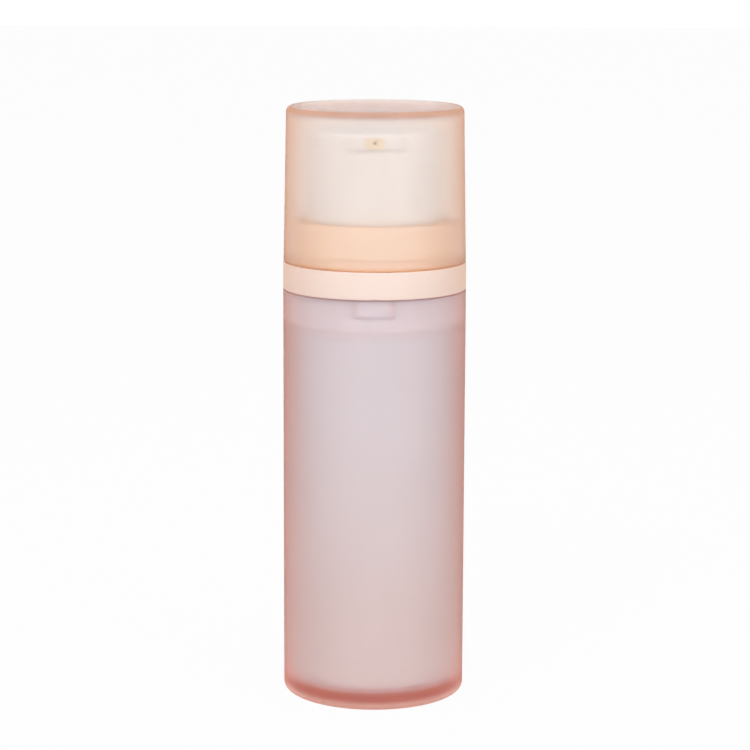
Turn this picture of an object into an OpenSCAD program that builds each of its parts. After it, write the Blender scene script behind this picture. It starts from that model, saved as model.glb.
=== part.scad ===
// Airless pump bottle: a frosted outer bottle round a product bottle with a
// follower piston, a dosing pump with a press-down actuator, and an overcap.
// The bottle stands on z = 0 with its axis on z, and the spout faces -y.

/* [Outer bottle] */
// Outside diameter of the outer bottle and of the collar's flange
body_d = 45; // [42:0.5:54]
// Height of the outer bottle from its foot to its rim
body_h = 101.6; // [80:0.1:140]
// Wall of the outer bottle
body_wall = 2; // [1.7:0.1:2.6]
// Thickness of the solid base
base_t = 4.1; // [3:0.1:6]
// Radius of the rounded edge under the base
base_round = 1.7; // [0.8:0.1:2.4]
// Width of the ring that the bottle stands on
foot_ring_w = 3.6; // [2.5:0.1:5]
// Depth of the recess inside that ring
foot_recess = 0.6; // [0.3:0.1:1.2]
// Chamfer on the rim where the collar's seam shows
rim_chamfer = 0.25; // [0.1:0.05:0.4]

/* [Product bottle] */
// Air gap between the walls of the two bottles
bottle_gap = 0.5; // [0.3:0.05:1]
// Wall of the product bottle
inner_wall = 1.2; // [0.9:0.1:1.8]
// Wall of its neck
neck_wall = 1.6; // [1.2:0.1:2]
// Straight height of its neck
neck_h = 7.6; // [7:0.1:10]
// Height of its sloping shoulder
shoulder_h = 1.2; // [1:0.1:4]
// How far the shoulder's inside lies below its outside
shoulder_drop = 0.8; // [0.5:0.1:1.2]
// Depth of the snap rib's middle below the neck's rim
neck_rib_drop = 2; // [1.5:0.1:3]
// Number of vent notches in its foot
vent_notches = 3; // [2:1:6]
// Width of a vent notch
vent_notch_w = 2; // [1:0.1:4]
// Height of a vent notch
vent_notch_h = 1.2; // [0.8:0.1:2]
// Thickness of the disc that closes its foot
foot_disc_t = 1.2; // [0.8:0.1:2]
// Height of that disc's rim, from its underside
foot_disc_rim_h = 2.4; // [2:0.1:4]
// Wall of the disc's rim
foot_disc_rim_wall = 1.2; // [0.8:0.1:2]
// Diameter of the vent hole in the disc
vent_d = 3; // [1.5:0.1:5]

/* [Follower piston] */
// Height of the follower piston over its two lips
follower_h = 9.8; // [8:0.1:14]
// Wall of the follower piston
follower_wall = 1.4; // [1:0.1:1.8]
// Height of each sealing lip
follower_lip_h = 2.2; // [1.4:0.1:3]
// How far the wall between the lips stands back from them
follower_waist = 0.7; // [0.3:0.1:1]

/* [Collar] */
// Height of the collar's exposed flange
flange_h = 6.7; // [4:0.1:12]
// Height of the seat inside the overcap
seat_h = 10.5; // [9.5:0.1:16]
// Wall of the seat
seat_wall = 1.8; // [1.4:0.1:2.2]
// Height of the snap rib on the seat, above the flange
seat_rib_z = 2.8; // [2.2:0.1:5]
// Depth of the skirt inside the outer bottle
skirt_h = 8.8; // [8:0.1:9]
// Wall of the skirt
skirt_wall = 1.3; // [1:0.1:1.6]
// Height of the inner ledge above the seam with the bottle
ledge_h = 2; // [1.6:0.1:3]
// Thickness of the lip that holds the guide sleeve down
rim_lip_t = 0.9; // [0.6:0.1:1.6]
// Width of the key that lines the spout up with the bottle
key_w = 9.6; // [4:0.1:14]
// Height of the key
key_h = 4.4; // [3:0.1:5]
// How far the key stands out of the skirt
key_t = 0.6; // [0.4:0.1:0.9]
// Width of the aiming nick at the front of the flange
nick_w = 2.4; // [1.5:0.1:4]
// Height of the nick
nick_h = 0.35; // [0.2:0.05:0.6]
// Depth of the nick
nick_depth = 0.4; // [0.2:0.05:0.8]
// Wall of the guide sleeve
sleeve_wall = 1; // [0.8:0.1:1.3]

/* [Pump closure] */
// Wall of the closure
closure_wall = 1.2; // [1:0.1:1.5]
// Thickness of the closure's web over the neck plug's flange
closure_web_t = 1.4; // [1:0.1:1.8]
// Width of the web
closure_web_w = 4.8; // [4:0.1:6]
// Height of the closure
closure_h = 9.6; // [8.5:0.1:9.7]
// Height of the snap ribs between closure and neck, and between skirt and outer bottle
snap_rib = 0.35; // [0.2:0.05:0.45]
// Width of a snap rib along the axis
snap_rib_w = 1; // [0.8:0.1:1.2]

/* [Neck plug] */
// Thickness of the neck gasket
gasket_t = 0.8; // [0.5:0.1:1.2]
// Thickness of the plug's flange on the gasket
plug_flange_t = 1.2; // [0.9:0.1:1.6]
// Wall of the plug that fills the neck
plug_wall = 1.2; // [1:0.1:1.5]
// Thickness of the plug's floor
plug_floor_t = 1.2; // [1:0.1:1.6]
// Wall of the hub that holds the dosing chamber
hub_wall = 1; // [0.8:0.1:1.4]
// Height of the hub above the plug's floor
hub_h = 4; // [2:0.1:6]
// Number of ribs between hub and plug
plug_ribs = 6; // [3:1:8]
// Thickness of a rib
plug_rib_t = 0.8; // [0.6:0.1:1.2]

/* [Pump body] */
// Bore of the dosing chamber
chamber_d = 12; // [11:0.1:13]
// Wall of the dosing chamber
chamber_wall = 1.2; // [1:0.1:1.5]
// Height of the dosing chamber above the closure
chamber_rise = 2.9; // [2.5:0.1:4]
// How far the chamber's shoulder on the hub stands out of its wall
shoulder_out = 1; // [0.7:0.1:1.1]
// Thickness of that shoulder
shoulder_t = 1; // [0.8:0.1:1.5]
// Bore of the inlet
inlet_d = 2.6; // [2.2:0.1:2.7]
// Length of the inlet below its valve seat
inlet_h = 1.2; // [0.8:0.1:2]
// Diameter of the inlet ball
ball_d = 4; // [3.9:0.1:4.6]
// Lift of the inlet ball
ball_lift = 1.2; // [0.8:0.1:1.6]
// Wall of the cage round the ball
cage_wall = 1.1; // [0.9:0.1:1.4]
// Thickness of the cage's base and of its top ring
cage_plate_t = 0.8; // [0.6:0.1:1.2]
// Width of each of the cage's windows
cage_window_w = 1.6; // [1:0.1:2]
// Number of the cage's windows
cage_windows = 3; // [3:1:5]

/* [Pump moving parts] */
// Stroke of the pump
stroke = 4.5; // [3:0.1:5]
// Diameter of the upper stem
stem_d = 6.4; // [6:0.1:7]
// Bore of the upper stem
stem_bore_d = 3.4; // [2.8:0.1:3.8]
// Length of the upper stem above its spring flange
stem_top_l = 8.9; // [7:0.1:12]
// Diameter of the stem's spring flange
stem_flange_d = 12.6; // [12.2:0.1:14]
// Thickness of the spring flange
stem_flange_t = 1.2; // [0.8:0.1:1.6]
// Diameter of the lower stem's shank
shank_d = 5; // [4.8:0.1:5.2]
// Bore of the lower stem
shank_bore_d = 2.8; // [2.4:0.1:3.2]
// Length of the shank inside the upper stem
shank_grip = 5.5; // [4:0.1:7]
// Diameter of the lower stem's foot
foot_d = 9; // [8.4:0.1:9.2]
// Thickness of the foot
foot_t = 1.1; // [0.8:0.1:1.6]
// Diameter of the dosing ports above the foot
port_d = 0.8; // [0.5:0.1:0.8]
// Play of the pump piston between the foot and the upper stem
piston_slip = 0.9; // [0.8:0.05:1.2]
// Height of the pump piston over its lips
piston_h = 5.4; // [5:0.1:7]
// How far the piston's sleeve stands back from each lip's end
piston_sleeve_back = 1; // [0.8:0.1:1.5]
// Wall of the piston's sleeve
piston_sleeve_wall = 1.1; // [0.8:0.1:1.3]
// Wall of the piston's lips
piston_lip_wall = 0.7; // [0.5:0.1:0.9]
// Thickness of the piston's web
piston_web_t = 1; // [0.8:0.1:1.4]
// Depth of the chaplet's plug in the chamber
chaplet_plug_h = 1.7; // [1.2:0.1:2.2]
// Thickness of the chaplet's plate
chaplet_plate_t = 1.4; // [1:0.1:2]
// Depth of the chaplet's rim outside the chamber
chaplet_rim_h = 1.7; // [1.2:0.1:1.9]
// Height of the chaplet's guide above its plate
chaplet_guide_h = 2.6; // [1.5:0.1:3.5]
// Wall of the chaplet's rim and guide
chaplet_wall = 0.9; // [0.7:0.1:1.1]

/* [Return spring] */
// Wire of the return spring
wire_d = 0.9; // [0.7:0.05:1]
// Number of turns
spring_turns = 7; // [6:0.5:7]
// Fitted length at rest
spring_l = 12; // [11.5:0.1:15]
// Pitch of the first and last turn
end_pitch = 1.4; // [1.4:0.05:1.6]

/* [Actuator] */
// Height of the actuator
head_h = 32.5; // [28:0.1:40]
// Wall of the actuator's drum
head_wall = 1.3; // [1:0.1:1.8]
// How much the drum's radius tapers towards its top
head_taper = 0.5; // [0.2:0.05:0.8]
// Radius of the drum's top edge
head_round = 1.2; // [0.6:0.1:2]
// Thickness of the top at its middle
head_top_t = 1.3; // [1:0.1:2]
// Depth of the finger dish
dish = 0.7; // [0.3:0.1:1.2]
// Width of the flat round the dish
dish_rim = 1.2; // [0.5:0.1:3]
// Wall of the socket on the stem
socket_wall = 1.2; // [0.9:0.1:1.6]
// Thickness of the drum's inner ribs
head_rib_t = 1; // [0.8:0.1:1.4]
// Height of the drum's inner ribs
head_rib_h = 6.5; // [4:0.1:10]

/* [Spout] */
// Width of the orifice
spout_w = 3.4; // [2:0.1:5]
// Height of the orifice
spout_h = 1.75; // [1:0.05:2.2]
// Depth of the orifice
spout_depth = 2.4; // [1.5:0.1:3.5]
// Wall of the spout insert round the orifice
spout_wall = 0.5; // [0.4:0.05:0.7]
// Length of the spout insert
insert_l = 4.9; // [4.2:0.1:6]
// Bore behind the orifice
duct_d = 1.6; // [1:0.1:1.7]
// Wall below the duct
duct_wall = 1; // [0.8:0.1:1.4]
// Roof of the actuator over the insert
spout_roof = 0.9; // [0.7:0.05:1.2]
// Width of the brow that carries the orifice
brow_w = 13.6; // [9:0.1:18]
// How far the brow stands out of the drum
brow_out = 1; // [0.5:0.1:1.4]
// Height of the brow from its underside to the actuator's top
brow_h = 3.9; // [3.5:0.1:6]
// Radius of the brow's edges
brow_round = 0.4; // [0.2:0.05:0.6]

/* [Overcap] */
// How far the overcap's mouth stands back from the flange
cap_inset = 0.1; // [0:0.05:0.4]
// Wall of the overcap
cap_wall = 1.8; // [1.4:0.1:2.2]
// How much the overcap's radius tapers towards its top
cap_taper = 0.7; // [0.3:0.05:1]
// Thickness of the overcap's top
cap_top_t = 2; // [1.4:0.1:2.6]
// Radius of the overcap's top edge
cap_round = 1.55; // [0.8:0.05:2.5]
// Radius inside that edge
cap_inner_round = 1; // [0.5:0.1:2]
// Room between the actuator's top and the overcap
cap_room = 3.6; // [1:0.1:8]
// Height of the snap ribs of overcap and seat
cap_rib = 0.2; // [0.1:0.05:0.25]
// Edge radius of small mouldings
edge = 0.3; // [0.2:0.05:0.4]

/* [Clearances] */
// Gap at the seam under the overcap
seam_gap = 0.1; // [0.05:0.05:0.3]
// Gap on the radius between pieces that are pushed together
fit_gap = 0.1; // [0.05:0.01:0.15]
// Gap on the radius where a seal or stem slides
run_gap = 0.05; // [0.03:0.01:0.08]
// Gap on the radius round the actuator's drum
head_gap = 0.3; // [0.2:0.05:0.5]
// Gap on the radius between the seat's snap rib and the overcap's
cap_gap = 0.1; // [0.05:0.05:0.2]
// Gap left between moving pieces at the end of their travel
stop_gap = 0.3; // [0.2:0.05:0.4]
// Gap on the radius between the follower piston's pocket and the dosing chamber
pocket_gap = 0.5; // [0.3:0.1:1]
// Gap on the radius between the spring and the chaplet's guide
spring_gap = 0.5; // [0.3:0.1:0.8]

/* [Hidden] */
$fn = 96;
round_steps = 6;
// How far a cut runs past the face it opens
over = 1;
// Overlap that joins two shapes of one piece
eps = 0.02;

// Radii, from the outside in
body_r = body_d / 2;
body_bore_r = body_r - body_wall;
skirt_r = body_bore_r - fit_gap;
skirt_bore_r = skirt_r - skirt_wall;
closure_r = skirt_bore_r - fit_gap;
closure_bore_r = closure_r - closure_wall;
closure_hole_r = closure_r - closure_web_w;
neck_rib_r = closure_bore_r - fit_gap;
neck_r = neck_rib_r - snap_rib;
neck_bore_r = neck_r - neck_wall;
plug_r = neck_bore_r - fit_gap;
plug_bore_r = plug_r - plug_wall;
inner_r = body_bore_r - bottle_gap;
inner_bore_r = inner_r - inner_wall;
follower_r = inner_bore_r - run_gap;
foot_recess_r = body_r - base_round - foot_ring_w;
cap_mouth_r = body_r - cap_inset;
cap_top_r = cap_mouth_r - cap_taper;
cap_bore_r = cap_mouth_r - cap_wall;

// Heights of the neck, from the collar's ledge down
ledge_z = body_h + ledge_h;
closure_top = ledge_z - fit_gap;
closure_bottom = closure_top - closure_h;
plug_flange_top = closure_top - closure_web_t;
plug_flange_bottom = plug_flange_top - plug_flange_t;
neck_top = plug_flange_bottom - gasket_t;
shoulder_top = neck_top - neck_h;
shoulder_bottom = shoulder_top - shoulder_h;
inner_bore_top = shoulder_bottom - shoulder_drop;
plug_bottom = shoulder_top - shoulder_drop - stop_gap;
hub_top = plug_bottom + plug_floor_t + hub_h;
neck_rib_z = neck_top - neck_rib_drop;
closure_rib_z = neck_rib_z - snap_rib_w - stop_gap;
skirt_bottom = body_h - skirt_h;
skirt_rib_z = skirt_bottom + snap_rib_w;

// Heights of the collar and overcap, from the seam up
flange_top = body_h + flange_h;
seat_top = flange_top + seat_h;
cap_bottom = flange_top + seam_gap;
sleeve_top = seat_top - rim_lip_t;

// The actuator, from the closure that stops it
head_bottom = closure_top + stroke + stop_gap;
head_top = head_bottom + head_h;
cap_ceiling = head_top + cap_room;
cap_top = cap_ceiling + cap_top_t;
cap_slope = cap_taper / (cap_top - cap_bottom);
cap_rib_r = cap_bore_r - cap_rib;
seat_rib_r = cap_rib_r - cap_gap;
seat_r = min(seat_rib_r - cap_rib, cap_bore_r - cap_slope * seat_h - stop_gap);
collar_bore_r = seat_r - seat_wall;
sleeve_r = collar_bore_r - run_gap;
sleeve_bore_r = sleeve_r - sleeve_wall;
head_r = sleeve_bore_r - head_gap;
head_top_r = head_r - head_taper;
rim_lip_r = sleeve_bore_r + run_gap;

// The dosing chamber and what moves in it, from the chaplet down
chamber_r = chamber_d / 2;
chamber_out_r = chamber_r + chamber_wall;
chamber_top = closure_top + chamber_rise;
stem_r = stem_d / 2;
stem_bore_r = stem_bore_d / 2;
shank_r = shank_d / 2;
shank_bore_r = shank_bore_d / 2;
foot_r = foot_d / 2;
piston_r = chamber_r - run_gap;
piston_bore_r = shank_r + fit_gap;
piston_top = chamber_top - chaplet_plug_h - piston_slip - stop_gap;
piston_bottom = piston_top - piston_h;
sleeve_low = piston_bottom + piston_sleeve_back;
sleeve_high = piston_top - piston_sleeve_back - stop_gap;
foot_top = sleeve_low - run_gap;
foot_bottom = foot_top - foot_t;
stem_bottom = sleeve_high + piston_slip + run_gap;
shank_top = stem_bottom + shank_grip;
cage_top = foot_bottom - stroke - stop_gap;
ball_r = ball_d / 2;
inlet_r = inlet_d / 2;
seat_cone_h = ball_r * sqrt(2) / 2;
ball_over_seat = (ball_r + run_gap) * sqrt(2) - inlet_r;
cage_ring_bottom = cage_top - cage_plate_t;
ball_z = cage_ring_bottom - stop_gap - ball_lift - ball_r;
inlet_seat_z = ball_z - ball_over_seat;
chamber_floor = inlet_seat_z + seat_cone_h;
inlet_bottom = inlet_seat_z - inlet_h;
cage_bore_r = max(ball_r + 2 * fit_gap, inlet_r + seat_cone_h + fit_gap);
cage_r = cage_bore_r + cage_wall;

// The spring and the stem's top, from the chaplet up
chaplet_top = chamber_top + chaplet_plate_t;
guide_r = stem_r + fit_gap + chaplet_wall;
chaplet_r = chamber_out_r + run_gap + chaplet_wall;
spring_r = guide_r + spring_gap + wire_d / 2;
stem_flange_bottom = chaplet_top + spring_l;
stem_flange_top = stem_flange_bottom + stem_flange_t;
stem_top = stem_flange_top + stem_top_l;
socket_bottom = stem_flange_top + fit_gap;
socket_top = stem_top + fit_gap;
socket_bore_r = stem_r + run_gap;
socket_r = socket_bore_r + socket_wall;

// The spout, from the actuator's top down
insert_h = spout_h + 2 * spout_wall;
insert_w = spout_w + 2 * spout_wall;
insert_top = head_top - spout_roof - run_gap;
spout_z = insert_top - insert_h / 2;
duct_r = duct_d / 2;
head_ceiling = head_top - dish - head_top_t;
brow_r = head_top_r + brow_out;
brow_bottom = head_top - brow_h;
insert_front = brow_r - run_gap;
insert_back = insert_front - insert_l;

// The follower piston's travel below the pump
foot_disc_r = inner_bore_r - fit_gap;
foot_disc_rim_top = base_t + foot_disc_rim_h;
follower_bottom = foot_disc_rim_top + stop_gap;
follower_lip_top = follower_bottom + follower_h;
crown_top = follower_lip_top + plug_bottom - stop_gap - inner_bore_top + fit_gap;
follower_travel = plug_bottom - stop_gap - crown_top;
pocket_r = chamber_out_r + pocket_gap;
pocket_floor = inlet_bottom - follower_travel - stop_gap;
crown_r = plug_r - fit_gap;

function arc(r_mid, z_mid, r, from, to) =
    [for (i = [0:round_steps]) let (a = from + (to - from) * i / round_steps)
        [r_mid + r * cos(a), z_mid + r * sin(a)]];

// Radius inside the overcap at a height above its mouth
function cap_inside(h) = cap_bore_r - cap_slope * h;

// A profile of [radius, height] points turned about the axis
module turned(points) {
    rotate_extrude() polygon(points);
}

// A snap rib or groove round a wall of radius r, its middle at height z
function rib(r, out, z, w) = [
    [r, z - w / 2],
    [r + out, z - w / 4],
    [r + out, z + w / 4],
    [r, z + w / 2]
];

module at_front(w, d, h) {
    translate([-w / 2, -d, 0]) cube([w, d, h]);
}

module outer_bottle() {
    slot_w = key_w + 2 * fit_gap;
    slot_r = skirt_r + key_t + fit_gap;
    color([0.93, 0.74, 0.72]) difference() {
        turned(concat(
            [[0, foot_recess], [foot_recess_r, foot_recess], [foot_recess_r + foot_recess, 0]],
            arc(body_r - base_round, base_round, base_round, -90, 0),
            [[body_r, body_h - rim_chamfer], [body_r - rim_chamfer, body_h], [body_bore_r, body_h]],
            [for (p = rib(body_bore_r, snap_rib, skirt_rib_z, snap_rib_w + 2 * fit_gap))
                [p[0], 2 * skirt_rib_z - p[1]]],
            [[body_bore_r, base_t + edge], [body_bore_r - edge, base_t], [0, base_t]]
        ));
        translate([0, 0, body_h - key_h - fit_gap]) intersection() {
            at_front(slot_w, body_r, key_h + fit_gap + over);
            cylinder(r = slot_r, h = key_h + fit_gap + over);
        }
    }
}

module inner_bottle() {
    color([0.96, 0.93, 0.95]) difference() {
        turned(concat(
            [[inner_bore_r, base_t], [inner_r, base_t], [inner_r, shoulder_bottom], [neck_r, shoulder_top]],
            rib(neck_r, snap_rib, neck_rib_z, snap_rib_w),
            [[neck_r, neck_top - edge], [neck_r - edge, neck_top], [neck_bore_r, neck_top]],
            [[neck_bore_r, shoulder_top - shoulder_drop], [inner_bore_r, inner_bore_top]]
        ));
        for (i = [0:vent_notches - 1])
            rotate((i + 0.5) * 360 / vent_notches)
                translate([inner_bore_r - over, -vent_notch_w / 2, base_t - over])
                    cube([inner_wall + 2 * over, vent_notch_w, vent_notch_h + over]);
    }
}

module foot_disc() {
    disc_top = base_t + foot_disc_t;
    rim_bore_r = foot_disc_r - foot_disc_rim_wall;
    color([0.97, 0.95, 0.95]) turned([
        [vent_d / 2, base_t],
        [foot_disc_r - edge, base_t],
        [foot_disc_r, base_t + edge],
        [foot_disc_r, foot_disc_rim_top],
        [rim_bore_r, foot_disc_rim_top],
        [rim_bore_r, disc_top],
        [vent_d / 2, disc_top]
    ]);
}

module follower_piston() {
    waist_r = follower_r - follower_waist;
    skirt_bore = waist_r - follower_wall;
    lip_bore = skirt_bore + follower_waist / 2;
    lip_slope_h = follower_lip_h / 2;
    ring_bottom = follower_lip_top - follower_lip_h;
    ring_top = ring_bottom + follower_wall;
    hub_r = pocket_r + follower_wall;
    crown_bore = crown_r - follower_wall;
    color([0.98, 0.97, 0.96]) turned([
        [0, pocket_floor - follower_wall],
        [hub_r, pocket_floor - follower_wall],
        [hub_r, crown_top - follower_wall],
        [crown_bore, crown_top - follower_wall],
        [crown_bore, ring_bottom],
        [skirt_bore, ring_bottom],
        [skirt_bore, follower_bottom + follower_lip_h],
        [lip_bore, follower_bottom],
        [follower_r - edge, follower_bottom],
        [follower_r, follower_bottom + lip_slope_h],
        [waist_r, follower_bottom + follower_lip_h],
        [waist_r, ring_bottom],
        [follower_r, follower_lip_top - lip_slope_h],
        [follower_r - edge, follower_lip_top],
        [lip_bore, follower_lip_top],
        [crown_r, ring_top],
        [crown_r - edge, crown_top],
        [pocket_r, crown_top],
        [pocket_r, pocket_floor],
        [0, pocket_floor]
    ]);
}

module collar() {
    key_bottom = body_h - key_h;
    key_r = skirt_r + key_t;
    nick_r = (nick_w * nick_w / 4 + nick_h * nick_h) / (2 * nick_h);
    color([0.99, 0.89, 0.84]) difference() {
        union() {
            turned(concat(
                [[skirt_bore_r, skirt_bottom], [skirt_r - edge, skirt_bottom]],
                [[skirt_r, skirt_bottom + edge]],
                rib(skirt_r, snap_rib, skirt_rib_z, snap_rib_w),
                [[skirt_r, body_h], [body_r - rim_chamfer, body_h], [body_r, body_h + rim_chamfer]],
                arc(body_r - edge, flange_top - edge, edge, 0, 90),
                [[seat_r, flange_top]],
                rib(seat_r, seat_rib_r - seat_r, flange_top + seat_rib_z, snap_rib_w),
                [[seat_r, seat_top - edge], [seat_r - edge, seat_top], [rim_lip_r + edge, seat_top]],
                [[rim_lip_r, seat_top - edge], [rim_lip_r, sleeve_top], [collar_bore_r, sleeve_top]],
                [[collar_bore_r, ledge_z], [skirt_bore_r, ledge_z]]
            ));
            translate([0, 0, key_bottom]) intersection() {
                at_front(key_w, body_r, key_h);
                difference() {
                    cylinder(r = key_r, h = key_h);
                    cylinder(r = skirt_r - skirt_wall / 2, h = key_h);
                }
            }
        }
        translate([0, 0, body_h + nick_h - nick_r]) rotate([90, 0, 0])
            translate([0, 0, body_r - nick_depth]) cylinder(r = nick_r, h = nick_depth + over);
    }
}

module guide_sleeve() {
    color([0.97, 0.96, 0.95]) turned([
        [sleeve_bore_r, closure_top],
        [sleeve_r - edge, closure_top],
        [sleeve_r, closure_top + edge],
        [sleeve_r, sleeve_top - run_gap],
        [sleeve_bore_r + edge, sleeve_top - run_gap],
        [sleeve_bore_r, sleeve_top - run_gap - edge]
    ]);
}

module pump_closure() {
    color([0.97, 0.96, 0.95]) turned(concat(
        [[closure_bore_r, closure_bottom], [closure_r - edge, closure_bottom]],
        [[closure_r, closure_bottom + edge], [closure_r, closure_top - edge]],
        [[closure_r - edge, closure_top], [closure_hole_r, closure_top]],
        [[closure_hole_r, plug_flange_top], [closure_bore_r, plug_flange_top]],
        [for (p = rib(closure_bore_r, -snap_rib, closure_rib_z, snap_rib_w))
            [p[0], 2 * closure_rib_z - p[1]]]
    ));
}

module neck_gasket() {
    color([0.82, 0.84, 0.88]) turned([
        [neck_bore_r, neck_top],
        [neck_r - edge, neck_top],
        [neck_r - edge, plug_flange_bottom],
        [neck_bore_r, plug_flange_bottom]
    ]);
}

module neck_plug() {
    floor_top = plug_bottom + plug_floor_t;
    hub_bore_r = chamber_out_r + fit_gap;
    hub_r = hub_bore_r + hub_wall;
    rib_from = hub_bore_r + hub_wall / 2;
    rib_to = plug_bore_r + plug_wall / 2;
    rib_bottom = plug_bottom + plug_floor_t / 2;
    color([0.93, 0.94, 0.96]) {
        turned([
            [hub_bore_r, plug_bottom],
            [plug_r - edge, plug_bottom],
            [plug_r, plug_bottom + edge],
            [plug_r, plug_flange_bottom],
            [neck_r - edge, plug_flange_bottom],
            [neck_r - edge, plug_flange_top],
            [plug_bore_r, plug_flange_top],
            [plug_bore_r, floor_top],
            [hub_r, floor_top],
            [hub_r, hub_top],
            [hub_bore_r, hub_top]
        ]);
        for (i = [0:plug_ribs - 1])
            rotate((i + 0.5) * 360 / plug_ribs)
                translate([rib_from, -plug_rib_t / 2, rib_bottom])
                    cube([rib_to - rib_from, plug_rib_t, hub_top - rib_bottom]);
    }
}

module pump_body() {
    nose = (chamber_out_r - inlet_r - inlet_h) / 2;
    shoulder_r = chamber_out_r + shoulder_out;
    catch_z = plug_bottom - fit_gap - snap_rib_w / 2;
    color([0.95, 0.95, 0.97]) turned(concat(
        [[inlet_r, inlet_bottom], [chamber_out_r - nose, inlet_bottom]],
        [[chamber_out_r, inlet_bottom + nose]],
        rib(chamber_out_r, snap_rib, catch_z, snap_rib_w),
        [[chamber_out_r, hub_top], [shoulder_r, hub_top], [shoulder_r, hub_top + shoulder_t]],
        [[chamber_out_r, hub_top + shoulder_t], [chamber_out_r, chamber_top], [chamber_r, chamber_top]],
        [[chamber_r, chamber_floor], [inlet_r + seat_cone_h, chamber_floor], [inlet_r, inlet_seat_z]]
    ));
}

module inlet_ball() {
    color([0.75, 0.76, 0.78]) translate([0, 0, ball_z]) sphere(r = ball_r);
}

module ball_cage() {
    window_bottom = chamber_floor + cage_plate_t;
    color([0.9, 0.93, 0.96]) difference() {
        turned([
            [cage_bore_r, chamber_floor],
            [chamber_r - fit_gap, chamber_floor],
            [chamber_r - fit_gap, window_bottom],
            [cage_r, window_bottom],
            [cage_r, cage_top],
            [inlet_r, cage_top],
            [inlet_r, cage_ring_bottom],
            [cage_bore_r, cage_ring_bottom]
        ]);
        for (i = [0:cage_windows - 1])
            rotate(i * 360 / cage_windows)
                translate([ball_r / 2, -cage_window_w / 2, window_bottom + fit_gap])
                    cube([cage_r, cage_window_w, cage_ring_bottom - window_bottom - 2 * fit_gap]);
    }
}

module lower_stem() {
    port_z = foot_top + port_d / 2;
    color([0.93, 0.93, 0.95]) difference() {
        union() {
            turned([
                [0, foot_bottom],
                [foot_r - edge, foot_bottom],
                [foot_r, foot_bottom + edge],
                [foot_r, foot_top - edge],
                [foot_r - edge, foot_top],
                [shank_r, foot_top],
                [shank_r, shank_top - edge],
                [shank_r - edge, shank_top],
                [0, shank_top]
            ]);
        }
        translate([0, 0, port_z]) cylinder(r = shank_bore_r, h = shank_top);
        for (turn = [45, 135])
            translate([0, 0, port_z]) rotate([90, 0, turn])
                cylinder(d = port_d, h = shank_d + over, center = true);
    }
}

module pump_piston() {
    sleeve_out = piston_bore_r + piston_sleeve_wall;
    lip_bore = piston_r - piston_lip_wall;
    waist_r = piston_r - piston_lip_wall / 2;
    web_bottom = (sleeve_low + sleeve_high - piston_web_t) / 2;
    web_top = web_bottom + piston_web_t;
    color([0.86, 0.9, 0.95]) turned([
        [piston_bore_r, sleeve_low],
        [sleeve_out, sleeve_low],
        [sleeve_out, web_bottom],
        [lip_bore, web_bottom],
        [lip_bore, piston_bottom],
        [piston_r, piston_bottom],
        [piston_r, piston_bottom + edge],
        [waist_r, web_bottom],
        [waist_r, web_top],
        [piston_r, piston_top - edge],
        [piston_r, piston_top],
        [lip_bore, piston_top],
        [lip_bore, web_top],
        [sleeve_out, web_top],
        [sleeve_out, sleeve_high],
        [piston_bore_r, sleeve_high]
    ]);
}

module upper_stem() {
    flange_r = stem_flange_d / 2;
    color([0.96, 0.96, 0.97]) turned([
        [shank_r + run_gap, stem_bottom],
        [stem_r, stem_bottom],
        [stem_r, stem_flange_bottom],
        [flange_r, stem_flange_bottom],
        [flange_r, stem_flange_top],
        [stem_r, stem_flange_top],
        [stem_r, stem_top - edge],
        [stem_r - edge, stem_top],
        [stem_bore_r, stem_top],
        [stem_bore_r, shank_top + run_gap],
        [shank_r + run_gap, shank_top + run_gap]
    ]);
}

module chaplet() {
    color([0.95, 0.95, 0.97]) turned([
        [stem_r + fit_gap, chamber_top - chaplet_plug_h],
        [chamber_r - run_gap, chamber_top - chaplet_plug_h],
        [chamber_r - run_gap, chamber_top],
        [chamber_out_r + run_gap, chamber_top],
        [chamber_out_r + run_gap, chamber_top - chaplet_rim_h],
        [chaplet_r, chamber_top - chaplet_rim_h],
        [chaplet_r, chaplet_top - edge],
        [chaplet_r - edge, chaplet_top],
        [guide_r, chaplet_top],
        [guide_r, chaplet_top + chaplet_guide_h],
        [stem_r + fit_gap, chaplet_top + chaplet_guide_h]
    ]);
}

// The spring's centre line rises at end_pitch in its first and last turn
function spring_rise(turn) =
    turn < 1 ? turn * end_pitch
    : turn > spring_turns - 1 ? spring_span - (spring_turns - turn) * end_pitch
    : end_pitch + (turn - 1) * (spring_span - 2 * end_pitch) / (spring_turns - 2);
spring_span = spring_l - wire_d - 2 * eps;
spring_sides = 6;
spring_steps = 12;
spring_rings = spring_steps * spring_turns;

module return_spring() {
    low = chaplet_top + wire_d / 2 + eps;
    points = [
        for (i = [0:spring_rings], k = [0:spring_sides - 1])
            let (turn = i * spring_turns / spring_rings, a = 360 * turn, b = 360 * k / spring_sides)
            let (r = spring_r + wire_d / 2 * cos(b))
            [r * cos(a), r * sin(a), low + spring_rise(turn) + wire_d / 2 * sin(b)]
    ];
    sides = [
        for (i = [0:spring_rings - 1], k = [0:spring_sides - 1])
            let (next = (k + 1) % spring_sides, at = i * spring_sides, up = at + spring_sides)
            each [[at + k, at + next, up + next], [at + k, up + next, up + k]]
    ];
    last = spring_rings * spring_sides;
    ends = [
        for (k = [1:spring_sides - 2]) each [[0, k + 1, k], [last, last + k, last + k + 1]]
    ];
    color([0.72, 0.74, 0.76]) polyhedron(points, concat(sides, ends));
}

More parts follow.
